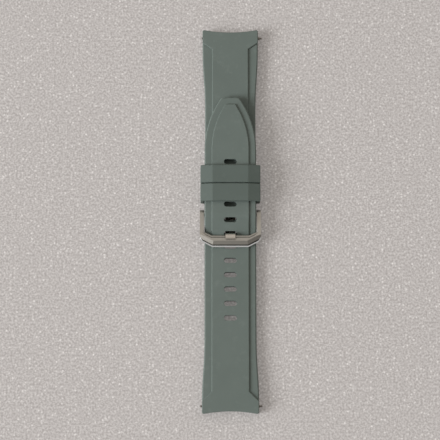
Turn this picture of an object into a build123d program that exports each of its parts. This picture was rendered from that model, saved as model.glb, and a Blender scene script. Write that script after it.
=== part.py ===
from build123d import *
import os
from math import atan2, degrees, radians, tan

# Rubber dive strap, buckled and lying face up on a table. Millimetres.
# +X is across the strap, +Y runs from the long half to the short half, +Z is up.
# The origin is on the table under the middle of the buckled strap.

# Both halves
half_reach = 75.9  # origin to the lug corners, along Y
lug_width = 22.0  # the gap between the watch's lugs that the ends fill
strap_taper = 1.8  # how much narrower than that the long half is at the buckle
lug_height = 4.2
end_sag = 1.1  # how far the end curves in, round the watch case
lug_corner = 0.6
strap_thick = 3.0
rail_width = 2.8  # lower border beside the raised middle
rail_drop = 0.6
outer_bevel = 0.4
panel_bevel = 0.2
arch_bend = 60.0  # radius of the shallow bends seen from the side
cut_over = 2.0  # how far a cutting or trimming shape runs past the piece
wall_lean_share = 0.01  # a face that leans less than this is an upright wall
bar_height = 2.1  # lug bar's axis over the table
bar_inset = 3.05  # lug corners to the bar's axis

# Short half, which carries the buckle. Insets run in from its lug corners.
short_narrower = 0.3  # than the long half
short_lift = 1.35  # its underside over the table, above the keepers' floors
short_flat_inset = 27.9  # where it starts to come down to the table
short_down_inset = 11.9  # where it lies on the table
short_flare_inset = 33.9
short_full_inset = 5.9  # full width from here to the lug end
short_panel_inset = 7.9
short_panel_turn = 2.6  # the raised middle widens to the full width over this
pivot_y = 1.7  # buckle bar's axis
pivot_z = 2.35
barrel_radius = 1.95
notch_side_gap = 0.3  # beside the tongue
notch_end_gap = 0.3  # behind the tongue's eye

# Long half, with the adjustment slots. Insets run in from its lug corners.
strap_gap = 0.2  # between the two halves where one lies on the other
arch_lift = 0.9  # underside over the table in front of the buckle
arch_start_inset = 11.9
arch_end_inset = 39.9
lug_top_inset = 7.9  # full thickness from here to the lug end
lug_slope_inset = 29.9  # strap thickness from here to the tip
long_flare_inset = 28.9
long_full_inset = 3.9
long_panel_inset = 8.6
long_panel_turn = 3.6
climb_angle = 24.0  # of the rise through the buckle
climb_top = 1.0  # where the centre line levels out, up from the origin
climb_bend = 2.5  # inside radius of its two bends
tip_reach = 47.8  # up from the origin
tip_flat = 6.8
tip_corner = 0.9
taper_length = 20.8
tip_thin = 0.9  # taken off the underside at the tip
tip_thin_length = 14.0

# Adjustment slots
slot_count = 12
slot_length = 5.0
slot_width = 2.0
slot_pitch = 5.6
slot_reach = 22.05  # first slot, up from the origin
tongue_slot_index = 5  # of the slot that the tongue is in, the one nearest the tip being 0

# Keepers
keeper_wall = 1.2
keeper_side_gap = 0.35
keeper_side_wall = 1.25
keeper_top_gap = 0.25
keeper_shoulder = 3.15  # long half's side to the keeper's flat top, across
keeper_fall = 1.3  # drop of the sloping shoulders outside
keeper_inner_fall = 0.65
keeper_low_cut = 1.6  # lower corners, cut off
keeper_round = 0.35
keeper_bevel = 0.25
keeper_length = 7.0
keeper_start = 6.35  # lower keeper's lower end, up from the origin
keeper_spacing = 0.25

# Spring bars
tube_radius = 0.9
tube_bore = 0.6
bore_fit = 0.08  # round a bar's tube
lip_length = 0.4  # crimped end of the tube
slide_fit = 0.05  # between a tip and its tube
tip_radius = 0.4
tip_length = 0.95
tip_edge = 0.12
neck_radius = 0.35
shoulder_radius = 0.6
shoulder_length = 0.6
tip_travel = 1.15
head_length = 0.65
spring_wire = 0.15
lug_bar_proud = 1.0  # of the lug ends, each side
short_bar_shift = 0.6  # how far each lug bar has slid to the right
long_bar_shift = 0.3

# Buckle frame. Distances run down from the origin.
frame_side_gap = 0.2
arm_width = 1.65
ear_radius = 1.9
ear_hole_fit = 0.05
ear_hole_spare = 0.15
ear_shoulder_gap = 0.05
bar_gap = 0.35  # under the front bar, over the long half
bar_thick = 1.45
bar_inner = 6.85
bar_inner_high = 0.9  # its inner edge, over the bar's underside
bar_bevel_end = 7.75
bar_ridge = 8.95
frame_front = 11.3
rim_width = 0.55
rim_height = 0.5
rim_step = 0.3  # the slope's foot stands this much over the rim
front_cut = 4.95  # front corner cut off, across
front_cut_back = 2.0
side_cut = 1.05
side_cut_back = 1.5
inner_cut = 3.0
inner_cut_back = 1.45

# Tongue
tongue_width = 4.0
tongue_thick = 0.9
tongue_bend = 1.4
tongue_top_bend = 0.9
tongue_rest = 0.1  # over the front bar
tongue_bias = 0.05  # down the slope from the slot's middle
tongue_bend_drop = 0.55  # from its flat end down to the upper bend
tongue_crest = 7.4  # down from the origin
tongue_reach = 8.35
tongue_corner = 0.4

# Places worked out from the sizes above
across = Axis.X.direction
long_width = lug_width - strap_taper
short_width = long_width - short_narrower
lug_bar_y = half_reach - bar_inset
short_top = short_lift + strap_thick
long_lift = short_top + strap_gap
long_top = long_lift + strap_thick
climb = radians(climb_angle)
climb_foot = climb_top - (long_lift - arch_lift) / tan(climb)
arch_top = arch_lift + strap_thick
inner_half = long_width / 2 + frame_side_gap
frame_half = inner_half + arm_width
trim_height = long_top + 2 * cut_over

os.makedirs("parts", exist_ok=True)


def save(piece, name):
    piece.part.label = name
    export_step(piece.part, f"parts/{name}.step")


def side_face(low_points, low_radii, high_points, high_radii):
    """Side view of a strip between an underside and a top, drawn in Y and Z."""
    with BuildSketch(Plane.YZ) as side:
        with BuildLine():
            low = FilletPolyline(*low_points, radius=low_radii)
            high = FilletPolyline(*high_points, radius=high_radii)
            Line(low @ 0, high @ 0)
            Line(low @ 1, high @ 1)
        make_face()
    return side.sketch


def rim_edges(piece):
    """Edges round the top and the underside of a trimmed strip."""
    walls = piece.faces().filter_by(lambda face: abs(face.normal_at().Z) < wall_lean_share)
    return walls.edges().filter_by(Axis.Z, reverse=True)


def end_arc(side):
    """Hollow end of a half across its full width, at the origin's +Y or -Y side."""
    corner = lug_width / 2
    reach = side * half_reach
    return ThreePointArc((-corner, reach), (0, reach - side * end_sag), (corner, reach))


def lug_side(width, side, flare_inset, full_inset, sign):
    """One edge of a half, from its narrow width out to the lug corner."""
    narrow, wide = sign * width / 2, sign * lug_width / 2
    start, end = side * (half_reach - flare_inset), side * (half_reach - full_inset)
    middle = (start + end) / 2
    Bezier((narrow, start), (narrow, middle), (wide, middle), (wide, end))
    Line((wide, end), (wide, side * half_reach))


def full_width_end(side, panel_half, start, turn):
    """Plan of the end where the raised middle widens past the outline."""
    wide = lug_width / 2 + cut_over
    slant = turn * (wide - panel_half) / (lug_width / 2 - panel_half)
    with BuildSketch(Plane.XY.offset(-cut_over)) as plan:
        with BuildLine():
            Polyline(
                (-panel_half, side * start),
                (-wide, side * (start + slant)),
                (-wide, side * (half_reach + cut_over)),
                (wide, side * (half_reach + cut_over)),
                (wide, side * (start + slant)),
                (panel_half, side * start),
                close=True,
            )
        make_face()
    return plan.sketch


# Short half

def short_high(drop):
    """Top of the short half in Y and Z, lowered by the drop."""
    return [
        (pivot_y, short_top - drop),
        (half_reach - short_flat_inset, short_top - drop),
        (half_reach - short_down_inset, lug_height - drop),
        (half_reach + cut_over, lug_height - drop),
    ]


short_low = [
    (pivot_y, short_lift),
    (half_reach - short_flat_inset, short_lift),
    (half_reach - short_down_inset, 0),
    (half_reach + cut_over, 0),
]
barrel_end = pivot_y - barrel_radius - cut_over

with BuildSketch(Plane.XY.offset(-cut_over)) as short_outline:
    with BuildLine():
        end_arc(1)
        for sign in (-1, 1):
            edge = sign * short_width / 2
            lug_side(short_width, 1, short_flare_inset, short_full_inset, sign)
            Line((edge, half_reach - short_flare_inset), (edge, barrel_end))
        Line((-short_width / 2, barrel_end), (short_width / 2, barrel_end))
    make_face()
    fillet(short_outline.vertices().group_by(Axis.Y)[-1], lug_corner)

with BuildPart() as short_panel:
    short_panel_half = short_width / 2 - rail_width
    short_panel_end = half_reach - short_panel_inset
    panel_side = side_face(short_high(2 * rail_drop), arch_bend, short_high(0), arch_bend)
    extrude(panel_side, amount=lug_width, dir=across, both=True)
    extrude(short_outline.sketch, amount=trim_height, mode=Mode.INTERSECT)
    with BuildSketch(Plane.XY.offset(-cut_over)) as short_panel_plan:
        with Locations((0, (pivot_y + short_panel_end) / 2)):
            Rectangle(2 * short_panel_half, short_panel_end - pivot_y)
        add(full_width_end(1, short_panel_half, short_panel_end, short_panel_turn))
    extrude(amount=trim_height, mode=Mode.INTERSECT)
    chamfer(rim_edges(short_panel), panel_bevel)

with BuildPart() as short_strap:
    low_side = side_face(short_low, arch_bend, short_high(rail_drop), arch_bend)
    extrude(low_side, amount=lug_width, dir=across, both=True)
    with BuildSketch(Plane.YZ):
        with Locations((pivot_y, pivot_z)):
            Circle(barrel_radius)
    extrude(amount=lug_width, both=True)
    extrude(short_outline.sketch, amount=trim_height, mode=Mode.INTERSECT)
    chamfer(rim_edges(short_strap), outer_bevel)
    add(short_panel.part)
    with BuildSketch(Plane.XY.offset(-cut_over)):
        with Locations((0, pivot_y)):
            Rectangle(
                tongue_width + 2 * notch_side_gap,
                2 * (tube_radius + bore_fit + tongue_thick + notch_end_gap),
            )
    extrude(amount=trim_height, mode=Mode.SUBTRACT)
    for y, z in ((pivot_y, pivot_z), (lug_bar_y, bar_height)):
        with BuildSketch(Plane.YZ):
            with Locations((y, z)):
                Circle(tube_radius + bore_fit)
        extrude(amount=lug_width, both=True, mode=Mode.SUBTRACT)

save(short_strap, "short_strap")


# Long half

def long_bends(height):
    """The climb's foot and top in Y and Z, at a height over the centre line."""
    shift = height * tan(climb / 2)
    middle = strap_thick / 2 + height
    return [(climb_foot - shift, arch_lift + middle), (climb_top - shift, long_lift + middle)]


def long_high(drop):
    """Top of the long half in Y and Z, lowered by the drop."""
    slope_share = (lug_slope_inset - arch_start_inset) / (arch_end_inset - arch_start_inset)
    return [
        (-half_reach - cut_over, lug_height - drop),
        (lug_top_inset - half_reach, lug_height - drop),
        (lug_slope_inset - half_reach, arch_lift * slope_share + strap_thick - drop),
        (arch_end_inset - half_reach, arch_top - drop),
        *long_bends(strap_thick / 2 - drop),
        (tip_reach + cut_over, long_top - drop),
    ]


def long_high_radii(drop):
    return [arch_bend] * 3 + [climb_bend + drop, climb_bend + strap_thick - drop]


long_low = [
    (-half_reach - cut_over, 0),
    (arch_start_inset - half_reach, 0),
    (arch_end_inset - half_reach, arch_lift),
    *long_bends(-strap_thick / 2),
    (tip_reach - tip_thin_length, long_lift),
    (tip_reach + cut_over, long_lift + tip_thin),
]
long_low_radii = [arch_bend] * 2 + [climb_bend + strap_thick, climb_bend, arch_bend]

with BuildSketch(Plane.XY.offset(-cut_over)) as long_outline:
    taper_start = tip_reach - taper_length
    with BuildLine():
        end_arc(-1)
        for sign in (-1, 1):
            edge = sign * long_width / 2
            lug_side(long_width, -1, long_flare_inset, long_full_inset, sign)
            Line((edge, long_flare_inset - half_reach), (edge, taper_start))
            TangentArc((edge, taper_start), (sign * tip_flat / 2, tip_reach), tangent=(0, 1))
        Line((-tip_flat / 2, tip_reach), (tip_flat / 2, tip_reach))
    make_face()
    fillet(long_outline.vertices().group_by(Axis.Y)[-1], tip_corner)
    fillet(long_outline.vertices().group_by(Axis.Y)[0], lug_corner)

with BuildLine(Plane.YZ) as long_middle:
    climb_foot_middle, climb_top_middle = long_bends(0)
    FilletPolyline(
        (tip_reach, long_lift + strap_thick / 2),
        climb_top_middle,
        climb_foot_middle,
        (arch_end_inset - half_reach, arch_lift + strap_thick / 2),
        (arch_start_inset - half_reach, strap_thick / 2),
        radius=[climb_bend + strap_thick / 2] * 2 + [arch_bend],
    )


def slot_plane(index):
    """Plane of one slot, square to the strap's bent centre line."""
    line = long_middle.wire()
    along = tip_reach - slot_reach + index * slot_pitch
    heading = line.tangent_at(along, position_mode=PositionMode.LENGTH)
    place = line.position_at(along, position_mode=PositionMode.LENGTH)
    return Plane(origin=place, x_dir=across, z_dir=heading.cross(across))


long_panel_half = long_width / 2 - rail_width
long_panel_end = half_reach - long_panel_inset
long_panel_side = side_face(
    long_high(2 * rail_drop), long_high_radii(2 * rail_drop), long_high(0), long_high_radii(0)
)

with BuildPart() as long_panel:
    extrude(long_panel_side, amount=lug_width, dir=across, both=True)
    with BuildSketch(Plane.XY.offset(-cut_over)) as long_panel_plan:
        add(long_outline.sketch)
        offset(amount=-rail_width, mode=Mode.REPLACE)
        with Locations((0, -long_panel_end - long_panel_turn)):
            Rectangle(
                2 * long_panel_half,
                2 * half_reach,
                align=(Align.CENTER, Align.MIN),
                mode=Mode.INTERSECT,
            )
    extrude(long_panel_plan.sketch, amount=trim_height, mode=Mode.INTERSECT)
    chamfer(rim_edges(long_panel), panel_bevel)

with BuildPart() as long_end:
    extrude(long_panel_side, amount=lug_width, dir=across, both=True)
    extrude(long_outline.sketch, amount=trim_height, mode=Mode.INTERSECT)
    end_plan = full_width_end(-1, long_panel_half, long_panel_end, long_panel_turn)
    extrude(end_plan, amount=trim_height, mode=Mode.INTERSECT)
    chamfer(rim_edges(long_end), panel_bevel)

with BuildPart() as long_strap:
    low_side = side_face(long_low, long_low_radii, long_high(rail_drop), long_high_radii(rail_drop))
    extrude(low_side, amount=lug_width, dir=across, both=True)
    extrude(long_outline.sketch, amount=trim_height, mode=Mode.INTERSECT)
    chamfer(rim_edges(long_strap), outer_bevel)
    add(long_panel.part)
    add(long_end.part)
    for index in range(slot_count):
        with BuildSketch(slot_plane(index)):
            SlotOverall(slot_length, slot_width)
        extrude(amount=strap_thick, both=True, mode=Mode.SUBTRACT)
    with BuildSketch(Plane.YZ):
        with Locations((-lug_bar_y, bar_height)):
            Circle(tube_radius + bore_fit)
    extrude(amount=lug_width, both=True, mode=Mode.SUBTRACT)

save(long_strap, "long_strap")


# Keepers, each a loop round both halves

def keeper(start):
    outer_half = long_width / 2 + keeper_side_gap + keeper_side_wall
    flat_half = long_width / 2 - keeper_shoulder
    inner_side = long_width / 2 + keeper_side_gap
    inner_flat = long_width / 2 - rail_width
    ceiling = long_top + keeper_top_gap
    with BuildPart() as loop:
        with BuildSketch(Plane.XZ.offset(-start)) as section:
            with BuildLine():
                Polyline(
                    (-flat_half, ceiling + keeper_wall),
                    (flat_half, ceiling + keeper_wall),
                    (outer_half, ceiling + keeper_wall - keeper_fall),
                    (outer_half, keeper_low_cut),
                    (outer_half - keeper_low_cut, 0),
                    (keeper_low_cut - outer_half, 0),
                    (-outer_half, keeper_low_cut),
                    (-outer_half, ceiling + keeper_wall - keeper_fall),
                    close=True,
                )
            make_face()
            fillet(section.vertices(), keeper_round)
            with BuildLine():
                Polyline(
                    (-inner_flat, ceiling),
                    (inner_flat, ceiling),
                    (inner_side, ceiling - keeper_inner_fall),
                    (inner_side, keeper_wall),
                    (-inner_side, keeper_wall),
                    (-inner_side, ceiling - keeper_inner_fall),
                    close=True,
                )
            make_face(mode=Mode.SUBTRACT)
        extrude(amount=-keeper_length)
        ends = loop.faces().filter_by(Axis.Y)
        outer = ends.wires().filter_by(lambda wire: wire.bounding_box().size.X > 2 * inner_side)
        chamfer(outer.edges(), keeper_bevel)
    return loop


lower_keeper = keeper(keeper_start)
upper_keeper = keeper(keeper_start + keeper_length + keeper_spacing)
save(lower_keeper, "lower_keeper")
save(upper_keeper, "upper_keeper")


# Spring bars: a tube crimped over two sprung tips

def spring_bar(name, length, y, z, shift):
    tube_half = length / 2 - tip_length - shoulder_length - tip_travel
    head_out = tube_half - lip_length - slide_fit
    middle = Plane(origin=(shift, y, z), x_dir=across, z_dir=Axis.Y.direction)

    with BuildPart() as tube:
        with BuildSketch(middle):
            Rectangle(2 * tube_half, tube_radius, align=(Align.CENTER, Align.MIN))
            Rectangle(
                2 * (tube_half - lip_length), tube_bore, align=(Align.CENTER, Align.MIN), mode=Mode.SUBTRACT
            )
            Rectangle(
                2 * tube_half, neck_radius + slide_fit, align=(Align.CENTER, Align.MIN), mode=Mode.SUBTRACT
            )
        revolve(axis=Axis((shift, y, z), across))
    save(tube, f"{name}_tube")

    for side, label in ((-1, "left"), (1, "right")):
        with BuildPart() as tip:
            with BuildSketch(middle):
                with BuildLine():
                    Polyline(
                        (side * (head_out - head_length), 0),
                        (side * (head_out - head_length), tube_bore - slide_fit),
                        (side * head_out, tube_bore - slide_fit),
                        (side * head_out, neck_radius),
                        (side * (length / 2 - tip_length - shoulder_length), neck_radius),
                        (side * (length / 2 - tip_length - shoulder_length), shoulder_radius),
                        (side * (length / 2 - tip_length), shoulder_radius),
                        (side * (length / 2 - tip_length), tip_radius),
                        (side * (length / 2 - tip_edge), tip_radius),
                        (side * length / 2, tip_radius - tip_edge),
                        (side * length / 2, 0),
                        close=True,
                    )
                make_face()
            revolve(axis=Axis((shift, y, z), across))
        save(tip, f"{name}_{label}_tip")

    with BuildPart() as spring:
        with BuildSketch(middle):
            with Locations((0, tube_bore - slide_fit - spring_wire)):
                Rectangle(
                    2 * (head_out - head_length - slide_fit), spring_wire, align=(Align.CENTER, Align.MIN)
                )
        revolve(axis=Axis((shift, y, z), across))
    save(spring, f"{name}_spring")


lug_bar_length = lug_width + 2 * lug_bar_proud
buckle_bar_length = 2 * (inner_half - ear_shoulder_gap + tip_length)
spring_bar("short_lug", lug_bar_length, lug_bar_y, bar_height, short_bar_shift)
spring_bar("long_lug", lug_bar_length, -lug_bar_y, bar_height, long_bar_shift)
spring_bar("buckle_bar", buckle_bar_length, pivot_y, pivot_z, 0)


# Buckle frame

bar_under = arch_top + bar_gap
bar_top = bar_under + bar_thick
bevel_tilt = degrees(atan2(bar_bevel_end - bar_inner, bar_thick - bar_inner_high))

with BuildSketch() as frame_hole:
    hole_side = [
        (inner_half - inner_cut, -bar_inner),
        (inner_half, inner_cut_back - bar_inner),
        (inner_half, pivot_y + ear_radius + 2 * cut_over),
    ]
    with BuildLine():
        Polyline(*hole_side, *[(-x, y) for x, y in reversed(hole_side)], close=True)
    make_face()


def frame_plan(back):
    """Outline of the frame with cut corners, its front moved back."""
    front = frame_front - back
    corner = [
        (frame_half - front_cut, -front),
        (frame_half - side_cut, front_cut_back - front),
        (frame_half, front_cut_back + side_cut_back - front),
        (frame_half, pivot_y + ear_radius + cut_over),
    ]
    with BuildSketch() as plan:
        with BuildLine():
            Polyline(*corner, *[(-x, y) for x, y in reversed(corner)], close=True)
        make_face()
        add(frame_hole.sketch, mode=Mode.SUBTRACT)
    return plan.sketch


def front_slope(sign, fall_back):
    """Plane of a front slope. Its foot starts at a front corner and falls back on the way out."""
    foot = (sign * (frame_half - front_cut), rim_width - frame_front, bar_under + rim_height + rim_step)
    facing = Vector(sign * fall_back, side_cut - front_cut).normalized()
    rise = bar_thick - rim_height - rim_step
    return Plane(origin=foot, z_dir=(facing.X * rise, facing.Y * rise, frame_front - rim_width - bar_ridge))


with BuildPart() as buckle_frame:
    with BuildSketch(Plane.YZ):
        with BuildLine():
            Polyline(
                (pivot_y, pivot_z + ear_radius),
                (-bar_inner, bar_top),
                (-frame_front, bar_top),
                (-frame_front, bar_under),
                (-bar_bevel_end, bar_under),
                (pivot_y, pivot_z - ear_radius),
                close=True,
            )
        make_face()
        with Locations((pivot_y, pivot_z)):
            Circle(ear_radius)
    extrude(amount=frame_half + cut_over, both=True)
    extrude(frame_plan(rim_width), amount=trim_height, mode=Mode.INTERSECT)
    for sign, fall_back in ((1, 0), (1, front_cut_back), (-1, front_cut_back)):
        split(bisect_by=front_slope(sign, fall_back), keep=Keep.BOTTOM)
    with BuildSketch(Plane.XY.offset(bar_under)) as rim_plan:
        add(frame_plan(0))
        with Locations((0, -bar_inner)):
            Rectangle(2 * frame_half, frame_front, align=(Align.CENTER, Align.MAX), mode=Mode.INTERSECT)
    extrude(amount=rim_height)
    with BuildSketch(Plane.YZ):
        with BuildLine():
            Polyline(
                (-frame_front - cut_over, -cut_over),
                (-frame_front - cut_over, bar_under),
                (-bar_bevel_end, bar_under),
                (bar_thick / tan(climb) - bar_bevel_end, bar_top),
                (0, bar_top),
                (0, -cut_over),
                close=True,
            )
        make_face()
    extrude(amount=inner_half, both=True, mode=Mode.SUBTRACT)
    with BuildSketch(Plane.XY.offset(bar_under + bar_inner_high)):
        add(frame_hole.sketch)
    extrude(amount=bar_thick - bar_inner_high, taper=-bevel_tilt, mode=Mode.SUBTRACT)
    with BuildSketch(Plane.YZ):
        with Locations((pivot_y, pivot_z)):
            Circle(tip_radius + ear_hole_fit)
    extrude(amount=inner_half + tip_length + ear_hole_spare, both=True, mode=Mode.SUBTRACT)

save(buckle_frame, "buckle_frame")


# Tongue, one bent strip with an eye round the buckle bar

slot_face = slot_plane(tongue_slot_index)
slot_low = slot_face.origin - slot_face.z_dir * strap_thick / 2 - slot_face.y_dir * tongue_bias
tongue_low = pivot_z - tube_radius - bore_fit - tongue_thick / 2
tongue_high = bar_top + tongue_rest + tongue_thick / 2


def on_slot_line(z):
    """Point at a height on the line that the tongue takes through the slot."""
    return (slot_low.Y - (z - slot_low.Z) * tan(climb), z)


with BuildPart() as buckle_tongue:
    with BuildSketch(Plane.YZ) as tongue_side:
        with BuildLine():
            FilletPolyline(
                (pivot_y, tongue_low),
                on_slot_line(tongue_low),
                on_slot_line(tongue_high - tongue_bend_drop),
                (-tongue_crest, tongue_high),
                (-tongue_reach, tongue_high),
                radius=[tongue_bend, tongue_top_bend, tongue_top_bend],
            )
        trace(line_width=tongue_thick)
        with Locations((pivot_y, pivot_z)):
            Circle(tube_radius + bore_fit + tongue_thick)
            Circle(tube_radius + bore_fit, mode=Mode.SUBTRACT)
    extrude(amount=tongue_width / 2, both=True)
    fillet(buckle_tongue.edges().filter_by(Axis.Z).group_by(Axis.Y)[0], tongue_corner)

save(buckle_tongue, "buckle_tongue")
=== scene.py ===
import math

import bmesh
import bpy
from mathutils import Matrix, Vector


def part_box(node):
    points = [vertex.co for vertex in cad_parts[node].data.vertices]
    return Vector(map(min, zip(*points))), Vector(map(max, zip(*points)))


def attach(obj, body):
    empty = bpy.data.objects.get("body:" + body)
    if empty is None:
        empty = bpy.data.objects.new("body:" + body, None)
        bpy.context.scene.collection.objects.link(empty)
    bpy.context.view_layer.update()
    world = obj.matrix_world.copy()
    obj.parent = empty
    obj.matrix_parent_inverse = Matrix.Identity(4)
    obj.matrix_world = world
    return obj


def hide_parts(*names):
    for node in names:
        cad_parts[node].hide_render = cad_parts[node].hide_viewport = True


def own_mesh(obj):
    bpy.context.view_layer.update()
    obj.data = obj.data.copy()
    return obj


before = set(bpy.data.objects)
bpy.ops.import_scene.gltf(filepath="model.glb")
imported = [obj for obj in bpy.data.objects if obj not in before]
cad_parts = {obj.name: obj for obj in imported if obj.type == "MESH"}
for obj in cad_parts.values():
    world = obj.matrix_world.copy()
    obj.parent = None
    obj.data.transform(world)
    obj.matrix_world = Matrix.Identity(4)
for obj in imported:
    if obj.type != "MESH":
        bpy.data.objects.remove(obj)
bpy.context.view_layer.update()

# Grey-green rubber dive strap, buckled, lying face up on a pale table and seen from above.
# Metres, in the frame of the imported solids: +X across the strap, +Y towards the buckle half, +Z up.

mm = 0.001
noiseLow, noiseHigh = 0.3, 0.7  # most values of a noise texture lie between these


def toLinear(hexColour):
    # sRGB hex to the linear colour that Blender's sockets take
    parts = [int(hexColour[i:i + 2], 16) / 255 for i in (1, 3, 5)]
    return [p / 12.92 if p <= 0.04045 else ((p + 0.055) / 1.055) ** 2.4 for p in parts] + [1.0]


def perMetre(spacing):
    # noise scale for a feature that repeats every so many millimetres
    return 1 / (spacing * mm)


def addNode(owner, kind, inputs, **settings):
    # adds one node to a material or world; an input is a value or the socket that feeds it
    node = owner.node_tree.nodes.new(kind)
    for name, value in settings.items():
        setattr(node, name, value)
    fillInputs(owner, node, inputs)
    return node


def fillInputs(owner, node, inputs):
    for name, value in inputs.items():
        if isinstance(value, bpy.types.NodeSocket):
            owner.node_tree.links.new(value, node.inputs[name])
        else:
            node.inputs[name].default_value = value


def newMaterial(name):
    material = bpy.data.materials.new(name)
    material.use_nodes = True
    return material, material.node_tree.nodes["Principled BSDF"]


def dress(names, material):
    for name in names:
        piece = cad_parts[name]
        piece.data.materials.clear()
        piece.data.materials.append(material)


# Strap halves and keepers
strapRubber = {
    "colour": "#646f6a",
    "shade": "#5c6762",  # the compound is not quite one tone
    "patch": 9.0,  # mm between the slow changes of tone
    "bloom": "#76807b",  # faint milky marks that handling leaves
    "bloomShare": 0.4,  # at most, in the middle of a mark
    "smear": 3.0,  # mm between marks
    "smearRange": (0.55, 0.8),  # noise values at which a mark begins and is full
    "grain": 0.5,  # mm; the mould's grain is near 0.1 and would not show
    "grainDepth": 0.012,  # mm
    "edge": 0.22,  # mm radius that softens moulded edges
    "ior": 1.41,
    "roughness": 0.62,
    "smoother": 0.05,  # how far handling takes the roughness down
    "rougher": 0.07,  # and up
}
keeperRubber = dict(strapRubber, colour="#58635e", shade="#515c57", bloom="#66706b")


def makeRubber(name, look):
    # moulded fluoroelastomer: matte and even, the light rolling softly over its edges
    material, shader = newMaterial(name)
    place = addNode(material, "ShaderNodeTexCoord", {}).outputs["Object"]
    patches = addNode(material, "ShaderNodeTexNoise", {
        "Vector": place, "Scale": perMetre(look["patch"]), "Detail": 3.0})
    tone = addNode(material, "ShaderNodeMix", {
        "Factor": patches.outputs["Fac"],
        "A": toLinear(look["colour"]), "B": toLinear(look["shade"])}, data_type="RGBA")
    smears = addNode(material, "ShaderNodeTexNoise", {
        "Vector": place, "Scale": perMetre(look["smear"]), "Detail": 5.0, "Roughness": 0.65})
    marked = addNode(material, "ShaderNodeMapRange", {
        "Value": smears.outputs["Fac"], "From Min": look["smearRange"][0],
        "From Max": look["smearRange"][1], "To Max": look["bloomShare"]})
    bloomed = addNode(material, "ShaderNodeMix", {
        "Factor": marked.outputs["Result"],
        "A": tone.outputs["Result"], "B": toLinear(look["bloom"])}, data_type="RGBA")
    sheen = addNode(material, "ShaderNodeMapRange", {
        "Value": smears.outputs["Fac"], "From Min": noiseLow, "From Max": noiseHigh,
        "To Min": look["roughness"] - look["smoother"], "To Max": look["roughness"] + look["rougher"]})
    softEdge = addNode(material, "ShaderNodeBevel", {"Radius": look["edge"] * mm}, samples=4)
    grain = addNode(material, "ShaderNodeTexNoise", {
        "Vector": place, "Scale": perMetre(look["grain"]), "Detail": 3.0})
    bump = addNode(material, "ShaderNodeBump", {
        "Height": grain.outputs["Fac"], "Strength": 0.5, "Distance": look["grainDepth"] * mm,
        "Normal": softEdge.outputs["Normal"]})
    fillInputs(material, shader, {
        "Base Color": bloomed.outputs["Result"], "Roughness": sheen.outputs["Result"],
        "IOR": look["ior"], "Normal": bump.outputs["Normal"]})
    return material


dress(["short_strap", "long_strap"], makeRubber("mouldedFluoroRubber", strapRubber))
dress(["lower_keeper", "upper_keeper"], makeRubber("mouldedKeeperRubber", keeperRubber))
print("rubber dressed")


# Buckle frame
blastedSteel = {
    "colour": "#b1afa8",
    # paler and bluer than the steel: a painted highlight along the polished rim
    "rim": "#dfe4e8",
    # painted shade: the colour of the frame's dark lines
    "grime": "#3b3a36",
    "roughness": 0.42,
    "roughnessSpread": 0.05,
    "rimRoughness": 0.32,
    "grain": 0.45,  # mm; the beads leave pits near 0.05 that would not show
    "grainDepth": 0.006,  # mm
    "edge": 0.04,  # mm radius that softens the milled edges
    "frontEnd": -7.3,  # mm: the rim is in front of this
    "frontBlend": 0.05,  # mm
    "rimTop": 4.78,  # mm up: the rim lies below this
    "rimBlend": 0.02,  # mm
    "stepTop": 5.24,  # mm up: painted shade lies in the step up to here
    "stepBlend": 0.12,  # mm
    "grooveLow": 5.52,  # mm up: painted shade as a thin dark line along the top of the inner bevel
    "grooveBlend": 0.03,  # mm
    "grooveGrime": 0.8,  # share of painted shade in the groove
    "bevelFacing": (0.3, 0.32),  # how far a face has to lean back to be the inner bevel
    # painted shade on the right arm's inner bevel, which keeps it from mirroring the window
    "armBevel": (-0.52, 0.0, 0.85),  # the way the right arm's inner bevel faces
    "armMatch": (0.96, 0.99),  # cosine to that way at which the painted shade begins and is full
    "armGrime": 0.75,
}


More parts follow.
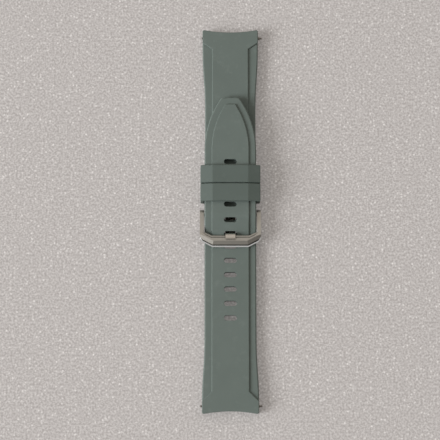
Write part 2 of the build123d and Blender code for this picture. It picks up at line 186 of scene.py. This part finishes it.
def makeBlastedSteel(name, look):
    # bead blasted stainless: a satin grey without direction, with a polished rim along the front whose
    # pale colour is a painted highlight, and painted shade as dark lines in the step under the front
    # slope, along the top of the inner bevel and on the right arm's inner bevel
    material, shader = newMaterial(name)
    coordinates = addNode(material, "ShaderNodeTexCoord", {})
    place = coordinates.outputs["Object"]
    height = addNode(material, "ShaderNodeSeparateXYZ", {"Vector": place})
    facing = addNode(material, "ShaderNodeSeparateXYZ", {"Vector": coordinates.outputs["Normal"]})
    front = addNode(material, "ShaderNodeMapRange", {
        "Value": height.outputs["Y"], "From Min": (look["frontEnd"] - look["frontBlend"]) * mm,
        "From Max": look["frontEnd"] * mm, "To Min": 1.0, "To Max": 0.0})
    low = addNode(material, "ShaderNodeMapRange", {
        "Value": height.outputs["Z"], "From Min": look["rimTop"] * mm,
        "From Max": (look["rimTop"] + look["rimBlend"]) * mm, "To Min": 1.0, "To Max": 0.0})
    # the rim is polished, which is real, and its paler colour is a painted highlight
    polishAndHighlight = addNode(material, "ShaderNodeMath", {
        0: front.outputs["Result"], 1: low.outputs["Result"]}, operation="MULTIPLY")
    # painted shade: darker in the step at the foot of the front slope
    belowSlope = addNode(material, "ShaderNodeMapRange", {
        "Value": height.outputs["Z"], "From Min": (look["stepTop"] - look["stepBlend"]) * mm,
        "From Max": look["stepTop"] * mm, "To Min": 1.0, "To Max": 0.0})
    step = addNode(material, "ShaderNodeMath", {
        0: front.outputs["Result"], 1: belowSlope.outputs["Result"]}, operation="MULTIPLY")
    # painted shade: a thin dark line along the top of the inner bevel
    bevel = addNode(material, "ShaderNodeMapRange", {
        "Value": facing.outputs["Y"], "From Min": look["bevelFacing"][0],
        "From Max": look["bevelFacing"][1]})
    high = addNode(material, "ShaderNodeMapRange", {
        "Value": height.outputs["Z"], "From Min": look["grooveLow"] * mm,
        "From Max": (look["grooveLow"] + look["grooveBlend"]) * mm, "To Max": look["grooveGrime"]})
    groove = addNode(material, "ShaderNodeMath", {
        0: bevel.outputs["Result"], 1: high.outputs["Result"]}, operation="MULTIPLY")
    # painted shade on the right arm's inner bevel, picked out by the way it faces
    aligned = addNode(material, "ShaderNodeVectorMath", {
        0: coordinates.outputs["Normal"], 1: look["armBevel"]}, operation="DOT_PRODUCT")
    onArm = addNode(material, "ShaderNodeMapRange", {
        "Value": aligned.outputs["Value"], "From Min": look["armMatch"][0],
        "From Max": look["armMatch"][1], "To Max": look["armGrime"]})
    # all of the frame's painted shade together
    inBar = addNode(material, "ShaderNodeMath", {
        0: step.outputs["Value"], 1: groove.outputs["Value"]}, operation="MAXIMUM")
    grimy = addNode(material, "ShaderNodeMath", {
        0: inBar.outputs["Value"], 1: onArm.outputs["Result"]}, operation="MAXIMUM")
    blasted = addNode(material, "ShaderNodeMix", {
        "Factor": grimy.outputs["Value"],
        "A": toLinear(look["colour"]), "B": toLinear(look["grime"])}, data_type="RGBA")
    tone = addNode(material, "ShaderNodeMix", {
        "Factor": polishAndHighlight.outputs["Value"],
        "A": blasted.outputs["Result"], "B": toLinear(look["rim"])}, data_type="RGBA")
    grain = addNode(material, "ShaderNodeTexNoise", {
        "Vector": place, "Scale": perMetre(look["grain"]), "Detail": 4.0})
    matte = addNode(material, "ShaderNodeMapRange", {
        "Value": grain.outputs["Fac"], "From Min": noiseLow, "From Max": noiseHigh,
        "To Min": look["roughness"] - look["roughnessSpread"],
        "To Max": look["roughness"] + look["roughnessSpread"]})
    rough = addNode(material, "ShaderNodeMix", {
        "Factor": polishAndHighlight.outputs["Value"],
        "A": matte.outputs["Result"], "B": look["rimRoughness"]}, data_type="FLOAT")
    softEdge = addNode(material, "ShaderNodeBevel", {"Radius": look["edge"] * mm}, samples=4)
    bump = addNode(material, "ShaderNodeBump", {
        "Height": grain.outputs["Fac"], "Strength": 0.4, "Distance": look["grainDepth"] * mm,
        "Normal": softEdge.outputs["Normal"]})
    fillInputs(material, shader, {
        "Base Color": tone.outputs["Result"], "Metallic": 1.0,
        "Roughness": rough.outputs["Result"], "Normal": bump.outputs["Normal"]})
    return material


dress(["buckle_frame"], makeBlastedSteel("beadBlastedStainless", blastedSteel))
print("buckle frame dressed")


# Tongue, and the spring bars' tubes and tips
satinSteel = {
    "colour": "#c4c0b8",
    "roughness": 0.24,
    "roughnessSpread": 0.06,
    "grain": 0.3,  # mm between the rubbed lines; the real ones are near 0.02
    "grainDepth": 0.003,  # mm
    "stretch": (1.0, 0.08, 0.08),  # lines run along the tongue
    # painted shade along the tongue's sides and round its end, where it meets the bar
    "grime": "#3b3a36",
    "grimeShare": 0.7,  # how much of it lies along the edges
    "sideGrime": 0.2,  # mm wide, along the sides
    "noseGrime": 0.35,  # mm wide, at the front end
}
turnedSteel = {
    # darker than the steel's own grey: painted shade, so that the bars read dark
    "colour": "#86837e",
    "roughness": 0.3,
    "roughnessSpread": 0.06,
    "grain": 0.2,  # mm between turning marks; the real ones are near 0.03
    "grainDepth": 0.002,  # mm
    "stretch": (1.0, 0.05, 0.05),  # marks run round the bar
}


def makeRubbedSteel(name, look):
    # stainless steel with fine lines in one direction, which spread its highlight across them
    material, shader = newMaterial(name)
    place = addNode(material, "ShaderNodeTexCoord", {}).outputs["Object"]
    along = addNode(material, "ShaderNodeMapping", {"Vector": place, "Scale": look["stretch"]})
    lines = addNode(material, "ShaderNodeTexNoise", {
        "Vector": along.outputs["Vector"], "Scale": perMetre(look["grain"]), "Detail": 3.0})
    rough = addNode(material, "ShaderNodeMapRange", {
        "Value": lines.outputs["Fac"], "From Min": noiseLow, "From Max": noiseHigh,
        "To Min": look["roughness"] - look["roughnessSpread"],
        "To Max": look["roughness"] + look["roughnessSpread"]})
    bump = addNode(material, "ShaderNodeBump", {
        "Height": lines.outputs["Fac"], "Strength": 0.5, "Distance": look["grainDepth"] * mm})
    fillInputs(material, shader, {
        "Base Color": toLinear(look["colour"]), "Metallic": 1.0,
        "Roughness": rough.outputs["Result"], "Normal": bump.outputs["Normal"]})
    return material


def addEdgeGrime(material, look, low, high):
    # painted shade in the corner between the tongue and the bar: a thin dark line along its sides and
    # round its end
    shader = material.node_tree.nodes["Principled BSDF"]
    place = addNode(material, "ShaderNodeTexCoord", {}).outputs["Object"]
    where = addNode(material, "ShaderNodeSeparateXYZ", {"Vector": place})
    across = addNode(material, "ShaderNodeMath", {0: where.outputs["X"]}, operation="ABSOLUTE")
    side = addNode(material, "ShaderNodeMapRange", {
        "Value": across.outputs["Value"], "From Min": high.x - look["sideGrime"] * mm,
        "From Max": high.x, "To Max": look["grimeShare"]})
    nose = addNode(material, "ShaderNodeMapRange", {
        "Value": where.outputs["Y"], "From Min": low.y,
        "From Max": low.y + look["noseGrime"] * mm, "To Min": look["grimeShare"], "To Max": 0.0})
    edges = addNode(material, "ShaderNodeMath", {
        0: side.outputs["Result"], 1: nose.outputs["Result"]}, operation="MAXIMUM")
    tone = addNode(material, "ShaderNodeMix", {
        "Factor": edges.outputs["Value"],
        "A": toLinear(look["colour"]), "B": toLinear(look["grime"])}, data_type="RGBA")
    fillInputs(material, shader, {"Base Color": tone.outputs["Result"]})


# satin rubbed stainless: paler than the frame, with a soft sheen along the tongue
tongueSteel = makeRubbedSteel("satinRubbedStainless", satinSteel)
addEdgeGrime(tongueSteel, satinSteel, *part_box("buckle_tongue"))
dress(["buckle_tongue"], tongueSteel)
# turned stainless, its grey darkened as painted shade: a round that looks dark on the table
barSteel = makeRubbedSteel("turnedStainless", turnedSteel)
for bar in ("short_lug", "long_lug", "buckle_bar"):
    dress([f"{bar}_tube", f"{bar}_left_tip", f"{bar}_right_tip"], barSteel)
print("tongue and bars dressed")


# Springs inside the bars, each wound in two halves, from the middle out to each tip
coilSpring = {
    "colour": "#a9a7a3",
    "roughness": 0.35,
    "roughnessSpread": 0.06,
    "grain": 0.1,  # mm between the die's lines; the real ones are finer
    "grainDepth": 0.001,  # mm
    "stretch": (1.0, 0.3, 0.3),  # lines run round the bar, as the wire does
    "wire": 0.15,  # mm thick
    "pitch": 0.4,  # mm between turns
    "stepsPerTurn": 12,
    "wireSides": 6,
    "travel": 1.1,  # mm that a tip can be pressed in
}


def windSpring(name, look, middle, side, length, outerRadius):
    # half a compression spring, wound from the bar's middle out to one tip
    wireRadius = look["wire"] * mm / 2
    steps = round(length / (look["pitch"] * mm) * look["stepsPerTurn"])
    winding = bmesh.new()
    rings = []
    for step in range(steps + 1):
        turn = 2 * math.pi * step / look["stepsPerTurn"]
        outward = Vector((0, math.cos(turn), math.sin(turn)))
        reach = wireRadius + (length - 2 * wireRadius) * step / steps
        centre = middle + Vector((side * reach, 0, 0)) + outward * (outerRadius - wireRadius)
        ring = []
        for corner in range(look["wireSides"]):
            angle = 2 * math.pi * corner / look["wireSides"]
            offset = outward * math.cos(angle) + Vector((math.sin(angle), 0, 0))
            ring.append(winding.verts.new(centre + offset * wireRadius))
        rings.append(ring)
    for near, far in zip(rings, rings[1:]):
        for corner in range(look["wireSides"]):
            winding.faces.new((near[corner - 1], near[corner], far[corner], far[corner - 1]))
    winding.faces.new(rings[0])
    winding.faces.new(rings[-1])
    bmesh.ops.recalc_face_normals(winding, faces=winding.faces)
    mesh = bpy.data.meshes.new(name)
    winding.to_mesh(mesh)
    winding.free()
    mesh.shade_smooth()
    piece = bpy.data.objects.new(name, mesh)
    bpy.context.scene.collection.objects.link(piece)
    return piece


# drawn stainless wire: a clean bright round, with lines that the die left
wire = makeRubbedSteel("drawnSpringWire", coilSpring)
bodyOfBar = {"short_lug": "short_bar", "long_lug": "long_bar", "buckle_bar": "buckle_bar"}
for node, body in bodyOfBar.items():
    low, high = (Vector(corner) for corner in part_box(f"{node}_spring"))
    middle = (low + high) / 2
    halfLength, outerRadius = (high.x - low.x) / 2, (high.z - low.z) / 2
    for side, hand in ((-1, "left"), (1, "right")):
        half = windSpring(f"{node}_spring_{hand}", coilSpring, middle, side, halfLength, outerRadius)
        half.data.materials.append(wire)
        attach(half, body)
        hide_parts(f"{node}_spring")
        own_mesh(half)
print("springs wound")


# Table
table = {
    "colour": "#8c8886",
    "cloud": "#a9a6a4",
    "glint": "#e6e4e1",
    "glow": 0.46,  # share of its colour that the camera sees where no light reaches
    "cloudSize": 0.8,  # mm
    "cloudRange": (0.35, 0.65),  # noise values between which the cloud grows
    "cloudDepth": 0.02,  # mm
    "glintSize": 1.3,  # mm between flecks, of which some get a painted glint
    "glintRange": (0.05, 0.4),  # distance from a fleck's middle over which it fades
    "glintShare": 0.5,  # at most, in the middle of a fleck
    "glintLeast": 0.3,  # flecks that draw less than this stay dull
    "roughness": 0.75,
    "width": 3.0,
    "drop": 0.05,  # mm under the strap, so that the two never share a plane
}


def makeTable(name, look):
    # pale laminate with a clouded print and a fine fleck whose sparkle is a painted glint, pressed
    # matt
    material, shader = newMaterial(name)
    place = addNode(material, "ShaderNodeTexCoord", {}).outputs["Object"]
    clouds = addNode(material, "ShaderNodeTexNoise", {
        "Vector": place, "Scale": perMetre(look["cloudSize"]), "Detail": 2.0, "Roughness": 0.6})
    cloudy = addNode(material, "ShaderNodeMapRange", {
        "Value": clouds.outputs["Fac"], "From Min": look["cloudRange"][0],
        "From Max": look["cloudRange"][1]})
    tone = addNode(material, "ShaderNodeMix", {
        "Factor": cloudy.outputs["Result"],
        "A": toLinear(look["colour"]), "B": toLinear(look["cloud"])}, data_type="RGBA")
    # painted glints: a share of the flecks is paler in colour, standing in for the laminate's sparkle
    flecks = addNode(material, "ShaderNodeTexVoronoi", {
        "Vector": place, "Scale": perMetre(look["glintSize"])})
    spots = addNode(material, "ShaderNodeMapRange", {
        "Value": flecks.outputs["Distance"], "From Min": look["glintRange"][0],
        "From Max": look["glintRange"][1], "To Min": look["glintShare"], "To Max": 0.0})
    lots = addNode(material, "ShaderNodeSeparateColor", {"Color": flecks.outputs["Color"]})
    caught = addNode(material, "ShaderNodeMapRange", {
        "Value": lots.outputs["Red"], "From Min": look["glintLeast"], "From Max": 1.0})
    glints = addNode(material, "ShaderNodeMath", {
        0: spots.outputs["Result"], 1: caught.outputs["Result"]}, operation="MULTIPLY")
    flecked = addNode(material, "ShaderNodeMix", {
        "Factor": glints.outputs["Value"],
        "A": tone.outputs["Result"], "B": toLinear(look["glint"])}, data_type="RGBA")
    bump = addNode(material, "ShaderNodeBump", {
        "Height": clouds.outputs["Fac"], "Strength": 0.6, "Distance": look["cloudDepth"] * mm})
    path = addNode(material, "ShaderNodeLightPath", {})
    seen = addNode(material, "ShaderNodeMath", {
        0: path.outputs["Is Camera Ray"], 1: path.outputs["Is Glossy Ray"]}, operation="MAXIMUM")
    seenAll = addNode(material, "ShaderNodeMath", {
        0: seen.outputs["Value"], 1: path.outputs["Is Transmission Ray"]}, operation="MAXIMUM")
    glow = addNode(material, "ShaderNodeMath", {
        0: seenAll.outputs["Value"], 1: look["glow"]}, operation="MULTIPLY")
    fillInputs(material, shader, {
        "Base Color": flecked.outputs["Result"], "Roughness": look["roughness"],
        "Emission Color": flecked.outputs["Result"], "Emission Strength": glow.outputs["Value"],
        "Normal": bump.outputs["Normal"]})
    return material


bpy.ops.mesh.primitive_plane_add(size=table["width"], location=(0, 0, -table["drop"] * mm))
tableTop = bpy.context.object
tableTop.name = "table"
tableTop.data.materials.append(makeTable("fleckedLaminate", table))
print("table laid")


# Light: a soft window on the left, and a room that is darkest in front and overhead
light = {
    "windowColour": "#fbfcff",
    "windowPower": 287.0,
    "windowSize": 2.5,  # metres
    "windowPlace": (-4.25, -1.3, 2.4),  # metres
    "roomColour": "#fff7ef",
    "roomStrength": 0.72,
    "darkStrength": 0.05,
    "darkMiddle": (0.35, -0.62, 0.7),  # direction of the darkest part
    "darkReach": 0.55,  # about the cosine of the angle from there at which the dark ends
}

room = bpy.data.worlds.new("room")
bpy.context.scene.world = room
room.use_nodes = True
direction = addNode(room, "ShaderNodeTexCoord", {}).outputs["Generated"]
towardsDark = addNode(room, "ShaderNodeVectorMath", {
    0: direction, 1: light["darkMiddle"]}, operation="DOT_PRODUCT")
strength = addNode(room, "ShaderNodeMapRange", {
    "Value": towardsDark.outputs["Value"], "From Min": light["darkReach"], "From Max": 1.0,
    "To Min": light["roomStrength"], "To Max": light["darkStrength"]})
fillInputs(room, room.node_tree.nodes["Background"], {
    "Color": toLinear(light["roomColour"]), "Strength": strength.outputs["Result"]})

window = bpy.data.lights.new("window", "AREA")
window.shape = "SQUARE"
window.size = light["windowSize"]
window.energy = light["windowPower"]
window.color = toLinear(light["windowColour"])[:3]
windowLamp = bpy.data.objects.new("window", window)
windowLamp.location = light["windowPlace"]
windowLamp.rotation_mode = "QUATERNION"
windowLamp.rotation_quaternion = (-Vector(light["windowPlace"])).to_track_quat("-Z", "Y")
bpy.context.scene.collection.objects.link(windowLamp)
print("light set")


# Camera, at the photograph's angle
view = {
    "sensor": 36.0,  # mm
    "lens": 124.65,  # mm
    "distance": 0.6,  # metres
    "tilt": 8.0,  # degrees, leaning towards the long half
    "aim": (-0.00406, 0.0, 0.0),
    "nearest": 0.01,  # metres
}

camera = bpy.data.cameras.new("camera")
camera.sensor_width = view["sensor"]
camera.lens = view["lens"]
camera.clip_start = view["nearest"]
cameraBody = bpy.data.objects.new("camera", camera)
tilt = math.radians(view["tilt"])
away = Vector((0, -math.sin(tilt), math.cos(tilt)))
cameraBody.location = Vector(view["aim"]) + away * view["distance"]
cameraBody.rotation_euler = (tilt, 0, 0)
bpy.context.scene.collection.objects.link(cameraBody)
bpy.context.scene.camera = cameraBody
bpy.context.scene.view_settings.view_transform = "Standard"
print("camera placed")
